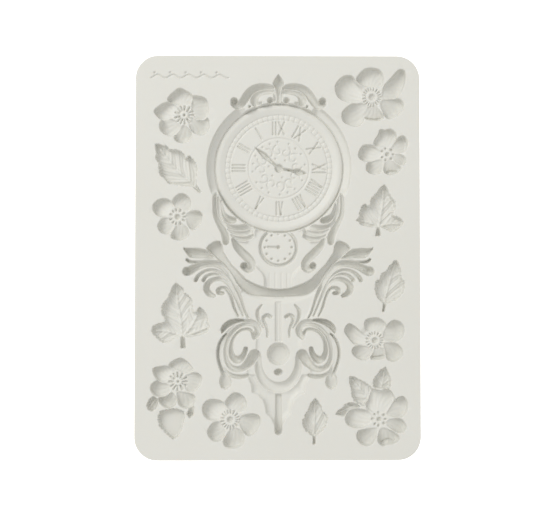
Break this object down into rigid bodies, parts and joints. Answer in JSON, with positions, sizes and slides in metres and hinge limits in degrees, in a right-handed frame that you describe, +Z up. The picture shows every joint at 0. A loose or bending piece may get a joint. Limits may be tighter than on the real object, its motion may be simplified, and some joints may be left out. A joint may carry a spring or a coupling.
{
  "type": "resin casting mould",
  "caption": "Flat silicone casting mould with sunk cavities: an ornate bracket clock with a mirrored dial, surrounded by flowers and leaves.",
  "frame": {"origin": "middle of the flat underside, on the surface that the mould lies on", "axes": "+Z up, out of the open face with the cavities; +Y along the length, towards the crown of the clock; +X to the right of it"},
  "size_m": [0.148, 0.21, 0.01],
  "materials": {
    "silicone": "matte off-white platinum-cured silicone rubber"
  },
  "bodies": {
    "root": {"mould_body": "silicone"}
  },
  "joints": []
}
